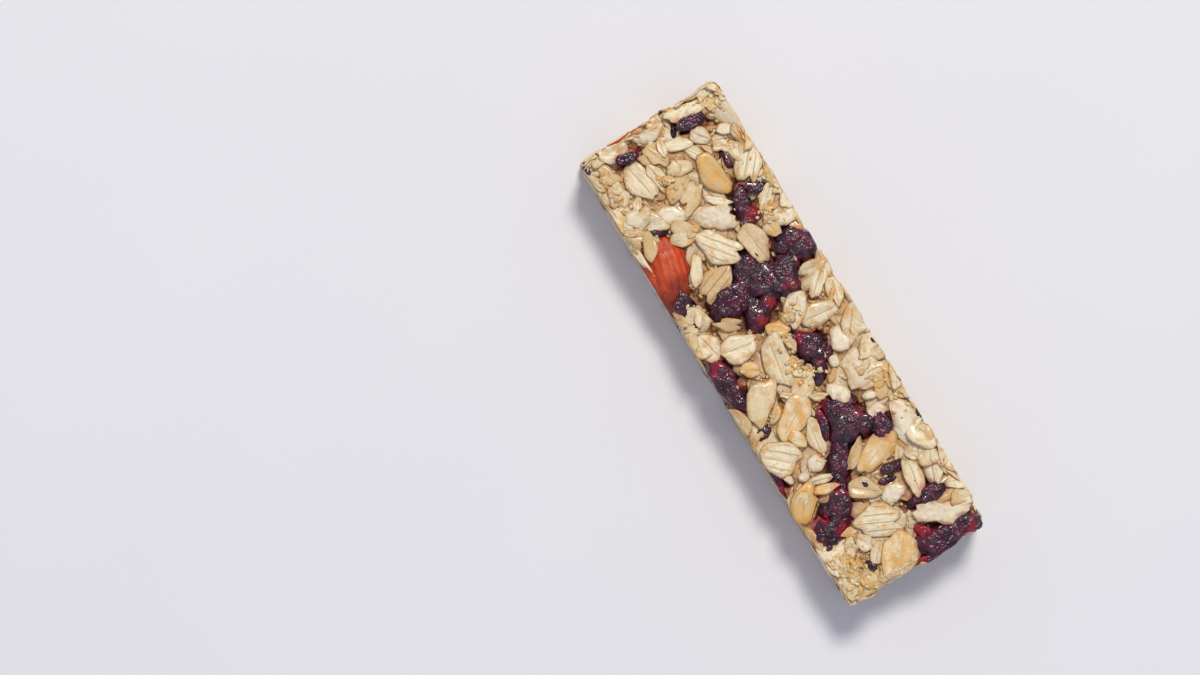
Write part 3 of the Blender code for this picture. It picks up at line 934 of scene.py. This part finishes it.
# %% The last flakes on top
whole_on_top = (
    (-49.4, 7.6, 9, 4.6, 80), (-49.5, -1.4, 7.4, 4.8, 72), (-44.4, 3, 6.5, 3, 65), (-41.8, -7.2, 9.8, 5.2, 10),
    (-40.5, -3.8, 7, 3, 8), (-37, -1.6, 6.8, 4.2, -58), (-40, 1, 5, 3.6, 80), (-30.6, 3.6, 6, 1.8, 50),
    (-30, -12.4, 6.6, 3, -25), (-26.2, 12.3, 6, 3.4, -50), (-19.6, 5.8, 8.9, 5.4, 6), (-10, 12.4, 5.6, 2.8, 80),
    (-7, 12.2, 7.6, 3.1, -48), (-3.6, 14.2, 6.5, 3.6, -15), (-1.3, 9.2, 7.8, 5, 84), (3.3, 13.6, 8.8, 4.6, -38),
    (-4.5, 5.4, 7.6, 5, -42), (2.4, -2.9, 11.2, 6.3, -10), (-3.9, -7.8, 8.8, 5.7, 80), (7.5, -9.6, 10.2, 6, -45),
    (-7, -12.6, 6.6, 4.6, 10), (8.5, -15, 6.6, 3, 10), (5.8, 5.1, 3.2, 2.2, 10), (26, 0.6, 7, 2.8, -52),
    (32.6, -1.4, 7.4, 4.2, 50), (18.9, -4.3, 7.8, 3.5, -8), (26.6, -7.5, 5.6, 2, 75), (30.2, -7.9, 5.6, 2.2, 75),
    (35.6, 8.2, 8.2, 4, -12), (36, 12.2, 8.8, 4.4, -22), (36.6, 15, 6.6, 3, -10), (41.6, -6.9, 4, 3.4, 20),
    (-41.8, 12.6, 4.5, 2.2, 60), (-43.3, 7.6, 4.8, 3.4, 40), (-41.2, 4.6, 5, 2.6, 30), (-21, -7, 7.4, 2.6, -32),
)
golden_on_top = (
    (-35.3, 5.7, 10, 5.2, 12), (27.7, 4.6, 10.8, 5.7, -70), (9.4, -1.2, 6.6, 5, -60), (13.6, -5.8, 10.8, 5.7, -62),
    (0.9, -8.2, 4.4, 3.2, 60), (-20.8, 10, 5, 3.2, 10), (47.8, -2.2, 10.5, 8, -38), (29, -13, 8.8, 5.4, -40),
    (28.6, -7.7, 5.6, 2, 75), (17.5, -7.2, 4.4, 3, 30), (17.4, 12.6, 5.6, 4, -50), (-3, 0.6, 5, 3.6, 50),
    (35.8, -15, 6, 2.2, 10), (38.3, -8.2, 3.6, 2.2, 80), (11.2, -8.6, 4.4, 2, -50), (16, 14.6, 5.4, 2.6, -30),
    (-38.6, 15.6, 5, 3, 10),
)
split_on_top = (
    (-34.3, 13.2, 10.6, 6.2, -42), (-22.3, -0.8, 10.2, 6.6, 38), (-17.1, -5.3, 8.6, 6.4, -70),
    (19, -12.2, 9.8, 7.2, 48), (39.4, -1.9, 10.6, 7, 64),
)
broken_on_top = (
    (-8.7, -7.2, 6, 2.6, 55), (-46, -12, 5.6, 4, 20), (-41.5, -12.4, 5.6, 4, -20), (-49.5, -10, 5, 3.4, 60),
    (44, -12, 6, 4, 20), (48.6, -13.6, 5, 3.6, -30), (42, -15, 5, 2.6, 0), (49.6, -10, 4.4, 3, 40),
    (-30, 15.3, 5, 3, -20), (-39.3, 10.2, 4.4, 2.6, 60), (-50.6, 0.8, 4, 2.4, 80), (-29.6, -15.0, 7.4, 1.7, 4),
)
for kind, rows, glow in (
    ("broken_oats", broken_on_top, 0.2), ("split_oats", split_on_top, 0.1),
    ("whole_oats", golden_on_top, 0.9), ("whole_oats", whole_on_top, 0.15),
):
    for x, y, length, width, turn in rows:
        face = faces_of_bar["top"]
        thick = choose.uniform(0.85, 1.2)
        ceiling = choose.uniform(-0.25, 0.42)
        lay = settle(face, (x, y), (length, width), np.radians(turn), thick, ceiling, 0.5, kept=True)
        add_flake(kind, lay, (length, width), thick, glow + choose.uniform(0, 0.2))

# %% Bits in thick syrup
# Syrup gathered in places and holds bits and crumbs. Each row is the middle of such a place, its spread and its
# number of crumbs.
clusters_on_top = (
    (3.8, 1.6, 1.1, 45), (7, 0.8, 1.2, 40), (0.2, 1.4, 1.0, 20), (-29, 14.6, 1.8, 36), (-21, 12, 1.5, 24),
    (-43, -14.4, 2.4, 50), (-38.4, -2.6, 1.5, 24), (43.5, -11, 2.2, 60), (47.5, -14, 2.4, 60), (41, -14.6, 1.8, 40),
    (49.6, -9.4, 1.6, 30), (-24, 10.6, 1.4, 24), (14.4, 13.6, 2.0, 30), (-47, 12, 1.8, 24), (22, 14.6, 1.6, 20),
    (-5, 3.4, 1.2, 22), (36, -11, 1.4, 24), (25, -3.6, 1.2, 18), (-19.6, -13.6, 1.6, 24), (-14, 14.8, 1.6, 14),
)
for x, y, spread, count in clusters_on_top:
    face = faces_of_bar["top"]
    for place in choose.normal((x, y), spread, (count // 5, 2)):
        size, turn = choose.uniform(1.6, 3.2) * np.array([1, choose.uniform(0.5, 0.9)]), choose.uniform(0, np.pi)
        lay = settle(face, place, size, turn, 0.6, choose.uniform(-0.1, 0.3), 0.8)
        if lay and not face.nuts[face.cells(place)].any():
            add_flake("oat_bits", lay, size, 0.6, choose.uniform(0.1, 1.4))

# %% Flakes and bits in the gaps that are left
for key, tries, ceiling, scale in (
    ("top", 900, -0.25, 0.85), ("top", 900, -0.3, 0.65), ("top", 300, -0.35, 0.4),
    ("under", 500, -0.05, 1.0), ("under", 150, -0.05, 0.5),
    ("left", 220, -0.15, 0.75), ("right", 220, -0.15, 0.75), ("left", 160, -0.3, 0.4), ("right", 160, -0.3, 0.4),
    ("head", 120, -0.15, 0.75), ("tail", 120, -0.15, 0.75), ("head", 80, -0.3, 0.4), ("tail", 80, -0.3, 0.4),
):
    scatter(key, tries, ceiling, scale, lean=0.6, spare=0.25)
print({kind: len(pile.points) for kind, pile in piles.items()})

# %% [markdown]
# ## Crumbs
#
# Tumbling breaks the flakes, and crumbs collect in every hollow, held by syrup. A crumb is a bit of a millimetre
# or less, so a ball of a few faces with uneven axes serves.

# %% Crumbs
crumb_ball, crumb_faces = ball(4, 6)
crumbs = Pile(crumb_faces)


def add_crumb(face, place, glow):
    """Sticks one crumb to the pile of a face, unless the place is on its rounded edge: a ball whose corners stand
    in and out by chance."""
    if (np.abs(place) > face.half - 1.6).any():
        return
    half = choose.uniform(0.22, 0.55) * choose.uniform(0.5, 1.5, 3)
    turned = np.linalg.qr(choose.normal(size=(3, 3)))[0]
    uneven = crumb_ball * choose.uniform(0.6, 1.25, (len(crumb_ball), 1)) * half
    own = uneven @ (turned * np.sign(np.linalg.det(turned)))
    middle = np.append(place, face.height[face.cells(place)] - 0.1)
    along, beside, above = own.T
    crumbs.add(face.to_bar(middle + own), along=along, beside=beside, above=above, edge=0.5, glow=glow, seam=0)


def add_crumbs(key, count):
    """Drops crumbs on a face, more of them where the pile is low."""
    face = faces_of_bar[key]
    lowness = eased(-face.height, 0.6, 1.8).ravel() + 0.003
    for pick in choose.choice(lowness.size, count, p=lowness / lowness.sum()):
        cell = np.array(np.unravel_index(pick, face.height.shape))
        add_crumb(face, (cell + choose.random(2)) * face.step - face.half, golden())


for key, count in (("top", 500), ("under", 220), ("left", 200), ("right", 200), ("head", 90), ("tail", 90)):
    add_crumbs(key, count)
for x, y, spread, count in clusters_on_top:
    face = faces_of_bar["top"]
    for place in choose.normal((x, y), spread, (count, 2)):
        if not face.nuts[face.cells(place)].any():
            add_crumb(face, place, choose.uniform(0.3, 1.1))
print(len(crumbs.points), "crumbs")

# %% [markdown]
# ## The core that the flakes stick to
#
# Between the flakes one sees syrup and what it holds, half a millimetre or so below the flakes. So the core is
# one closed surface: a box on a grid, each face sunk to just below its own height map, softened so that no flake
# pokes through from behind.

# %% A closed box on a grid
def box_grid(counts):
    """Points of a closed box from -1 to 1 with so many cells along each axis, and the quads between them."""
    numbers = np.stack(np.meshgrid(*[np.arange(n + 1) for n in counts], indexing="ij"), -1)
    on_skin = ((numbers == 0) | (numbers == counts)).any(-1)
    index = np.full(on_skin.shape, -1)
    index[on_skin] = np.arange(on_skin.sum())
    quads = []
    for axis in range(3):
        for layer, flip in ((0, 1), (-1, 0)):
            plane = np.take(index, layer, axis)
            quad = np.stack([plane[:-1, :-1], plane[1:, :-1], plane[1:, 1:], plane[:-1, 1:]], -1).reshape(-1, 4)
            quads.append(quad[:, ::-1] if flip ^ (axis == 1) else quad)
    return numbers[on_skin] / counts * 2 - 1, np.concatenate(quads)


def softened(height, times=3):
    """A height map averaged with its neighbours a few times."""
    padded = np.pad(height, times, mode="edge")
    for _ in range(times):
        for axis in (0, 1):
            padded = (np.roll(padded, 1, axis) + 2 * padded + np.roll(padded, -1, axis)) / 4
    return padded[times:-times, times:-times]


# %% Core
counts = np.array([110, 50, 18])
unit, core_quads = box_grid(counts)
core = unit * [half_length, half_width, mid] + [0, 0, mid]
sunk = core.copy()
for face in faces_of_bar.values():
    outward = face.axes[2]
    axis = int(np.argmax(np.abs(outward)))
    facing = np.clip(unit @ outward, 0, 1) ** 6
    own = face.to_face(core)
    pile = np.where(face.nuts, -1.8, face.height)
    depth = 0.65 - softened(pile)[face.cells(own)].clip(-2.6, 0)
    sunk[:, axis] -= np.sign(outward[axis]) * (depth * facing)
sunk += 0.12 * np.stack([waves(core, 2.4, 50 + i) for i in range(3)], 1)
sunk = trimmed(sunk, inset=0.5, rounding=1.8)[0]
deep = eased(depth_of(sunk), 0.5, 2.5)

# %% [markdown]
# ## Finish of the oats
#
# A toasted oat is cream, with fine fibres along it, a brown line in its crease, a tan rim of bran and golden
# patches where it roasted or soaked up syrup. The rim is also painted a little darker towards each flake's edge as
# shade, and the grooves of a fanned flake are darkened as painted shade. What lies deep in a hollow is painted tan
# to brown all over: partly syrup that gathers there, partly painted shade, since light reaches it only after many
# bounces. Cut edges are pale. The fibres run along each flake, so they read the place that the mesh keeps for
# each point.

# %% Oat finish
def oat_finish(name, light, tan, fibres=1.0, lobes=0.0, grain=0.5, rough=0.2):
    """Cream to tan by each piece's tint, with patches, a crease line, a rim that is partly bran and partly painted
    edge shade, syrup, pale cuts and painted shade deep in hollows. Lobes add the grooves of a flake that has opened
    like a fan, darkened as painted shade, and grain and rough are the size and the depth of its unevenness in
    millimetres."""
    paint = Paint(name, IOR=1.44, Subsurface_Weight=0.12, Subsurface_Scale=0.001, Coat_Roughness=0.2)
    tint, glow, deep, edge, seam = (paint.value(key) for key in ("tint", "glow", "deep", "edge", "seam"))
    patches = paint.cloud(3.0, 3.0)
    base = paint.mix(paint.ease(tint * 0.9 + patches * 0.5, 0.4, 1.25), light, tan)
    mottled = paint.ease(paint.cloud(0.8, 4.0), 0.45, 0.7) * 0.3
    base = paint.mix(mottled, base, colour(209, 180, 130))
    streaks = paint.node("ShaderNodeTexNoise", {}, {"Vector": own_place(paint, 7), "Scale": 2.2, "Detail": 3.0})
    base = paint.mix(paint.ease(streaks, 0.48, 0.75) * 0.4 * fibres, base, colour(204, 168, 108))
    beside = paint.value("beside") + (paint.cloud(1.6) - 0.5) * 0.3
    distance = paint.node("ShaderNodeMath", {"operation": "ABSOLUTE"}, {0: beside})
    line = (1 - paint.ease(distance, 0.02, 0.2)) * (1 - paint.ease(edge, 0.6, 0.95)) * seam * 0.6
    base = paint.mix(line * fibres, base, colour(146, 104, 54))
    wave = paint.node("ShaderNodeMath", {"operation": "SINE"}, {0: beside * 2.0 + tint * 3})
    lobe = paint.node("ShaderNodeMath", {"operation": "ABSOLUTE"}, {0: wave})
    # Painted shade: the colour darkens along the grooves that the bump also cuts.
    groove = (1 - paint.ease(lobe, 0.02, 0.35)) * (1 - paint.ease(edge, 0.7, 1.0)) * lobes
    base = paint.mix(groove * 0.45, base, colour(160, 116, 62))
    # Partly bran and partly painted shade: each flake turns darker tan towards its edge.
    bran_and_painted_edge_shade = paint.ease(edge + (paint.cloud(1.2, 3.0) - 0.5) * 1.4, 0.55, 1.2) * 0.7
    base = paint.mix(bran_and_painted_edge_shade, base, colour(199, 156, 98))
    roast = paint.ease(glow + (paint.cloud(2.2, 3.0) - 0.5) * 1.8, 0.55, 1.2)
    base = paint.mix(roast * 0.75, base, colour(223, 172, 92))
    syrup = paint.ease(paint.cloud(2.2, 3.0) + edge * 0.08, 0.58, 0.72)
    base = paint.mix(syrup * (0.3 + 0.3 * fibres), base, colour(218, 162, 80))
    # Painted shade, with some real syrup and crumb: what lies deep in a hollow is darkened to crumb brown.
    crumb_and_painted_shade = paint.mix(paint.ease(paint.cloud(1.4, 4.0), 0.35, 0.65), colour(138, 82, 38), colour(194, 136, 70))
    base = paint.mix(paint.ease(deep, 0.15, 0.8) * 0.85, base, crumb_and_painted_shade)
    stain = paint.ease(paint.value("juice") + deep * 0.3 + (paint.cloud(1.6, 3.0) - 0.5) * 1.2, 0.45, 1.2)
    base = paint.mix(stain * (0.5 + 0.4 * paint.ease(deep, 0.0, 0.6)), base, colour(138, 40, 46))
    cut = paint.ease(paint.value("cut") + (paint.cloud(0.9, 3.0) - 0.5) * 0.5, 0.3, 0.7) * 0.55
    base = paint.mix(cut, base, colour(240, 213, 172))
    wet = paint.ease(paint.cloud(2.8, 2.0), 0.45, 0.62)
    height = streaks * 0.7 * fibres + paint.cloud(grain, 4.0) * 0.8 - groove * 0.6
    return paint.finish(base, 0.64 - wet * 0.2 - syrup * 0.1, height, rough, wet * 0.45 + syrup * 0.4)


oat_paint = oat_finish("toasted_oat", colour(241, 229, 197), colour(207, 177, 126))
fan_paint = oat_finish("fanned_oat", colour(241, 229, 197), colour(213, 183, 134), lobes=1.0)
rice_paint = oat_finish("puffed_rice", colour(236, 224, 198), colour(214, 197, 166), fibres=0.0, grain=0.9, rough=0.42)
crumb_paint = oat_finish("oat_crumb", colour(232, 212, 170), colour(206, 166, 108), fibres=0.4)
for kind, finish in zip(piles, (oat_paint, fan_paint, oat_paint, crumb_paint)):
    piles[kind].build(kind, finish, "oat")
piles_of_rice.build("rice_crisps", rice_paint, "oat")
crumbs.build("crumbs", crumb_paint, "oat")
scraps.build("fruit_scraps", cranberry_paint, "cranberry")

# %% [markdown]
# ## Finish of the core
#
# The syrup is honey, sugar and starch from the oats: amber in thick drops, and cream where it is full of fine
# crumb. It shines more than the flakes do.

# %% Core finish
def syrup_finish():
    """Amber syrup full of crumbs, painted darker brown as shade where it lies deep."""
    paint = Paint("syrup_and_crumb", IOR=1.47, Subsurface_Weight=0.1, Subsurface_Scale=0.001)
    grains = paint.cloud(0.9, 5.0, warp=1.5)
    soft = paint.cloud(2.6, 4.0)
    base = paint.mix(paint.ease(soft, 0.35, 0.7), colour(202, 150, 92), colour(160, 102, 52))
    base = paint.mix(paint.ease(grains, 0.35, 0.6), base, colour(220, 182, 128))
    # Painted shade: the syrup turns dark brown where it lies deep.
    base = paint.mix(paint.ease(paint.value("deep"), 0.3, 1.0) * 0.6, base, colour(110, 64, 32))
    stain = paint.ease(paint.value("juice") + (soft - 0.5) * 0.8, 0.1, 0.8) * 0.8
    base = paint.mix(stain, base, colour(96, 24, 32))
    height = grains + paint.cloud(2.0, 2.0)
    return paint.finish(base, soft * 0.3 + 0.3, height, 0.5, paint.ease(soft, 0.5, 0.6) * 0.5)


piece("syrup_core", sunk, [core_quads], syrup_finish(), "oat", ["oat_slab"], deep=deep, juice=juice(sunk))

# %% [markdown]
# ## Floor, light and camera
#
# The bar lies on a pale surface in soft daylight from one window, and the camera looks straight down on it. One
# large area light is the window, and the pale world fills the shadows. The camera stands high, since a long lens
# keeps the bar's sides parallel.

# %% Floor
def plain_floor():
    """A large pale square just under the bar, with a faint unevenness in its shine."""
    paint = Paint("pale_floor", Specular_IOR_Level=0.2)
    mottled = paint.cloud(60, 2.0)
    paint.finish(paint.mix(mottled, colour(226, 227, 231), colour(230, 231, 234)), mottled * 0.1 + 0.6, mottled, 0.01)
    mesh = bpy.data.meshes.new("floor")
    reach, drop = 2.5, -0.0002
    mesh.from_pydata([(-reach, -reach, drop), (reach, -reach, drop), (reach, reach, drop), (-reach, reach, drop)], [],
                     [(0, 1, 2, 3)])
    mesh.materials.append(paint.material)
    made = bpy.data.objects.new("floor", mesh)
    bpy.context.scene.collection.objects.link(made)


plain_floor()

# %% Light
def window(name, direction, distance, size, power, tone):
    """A square area light at a distance in a direction from the bar, turned to face it."""
    lamp = bpy.data.lights.new(name, "AREA")
    lamp.size = size
    lamp.energy = power
    lamp.color = colour(*tone)[:3]
    made = bpy.data.objects.new(name, lamp)
    away = Vector(direction).normalized()
    made.location = away * distance
    made.rotation_euler = away.to_track_quat("Z", "Y").to_euler()
    bpy.context.scene.collection.objects.link(made)


from mathutils import Vector

window("daylight", (-0.43, 0.42, 1.0), 2.0, 0.45, 28.0, (255, 249, 238))
window("bounce", (0.8, -0.6, 1.2), 2.0, 1.5, 2.0, (228, 232, 255))
world = bpy.data.worlds.new("pale_room")
bpy.context.scene.world = world
world.use_nodes = True
world.node_tree.nodes["Background"].inputs["Color"].default_value = colour(228, 230, 248)
world.node_tree.nodes["Background"].inputs["Strength"].default_value = 0.5
bpy.context.scene.view_settings.view_transform = "Standard"

# %% Camera
lens = bpy.data.cameras.new("camera")
lens.sensor_width = 36
lens.lens = 36 * 550 / 235.3
lens.clip_end = 10
camera = bpy.data.objects.new("camera", lens)
camera.location = (-0.0199, -0.0300, 0.565)
camera.rotation_euler = (0, 0, np.radians(58.4))
bpy.context.scene.collection.objects.link(camera)
bpy.context.scene.camera = camera
print("the camera stands", camera.location.z, "m above the tray")
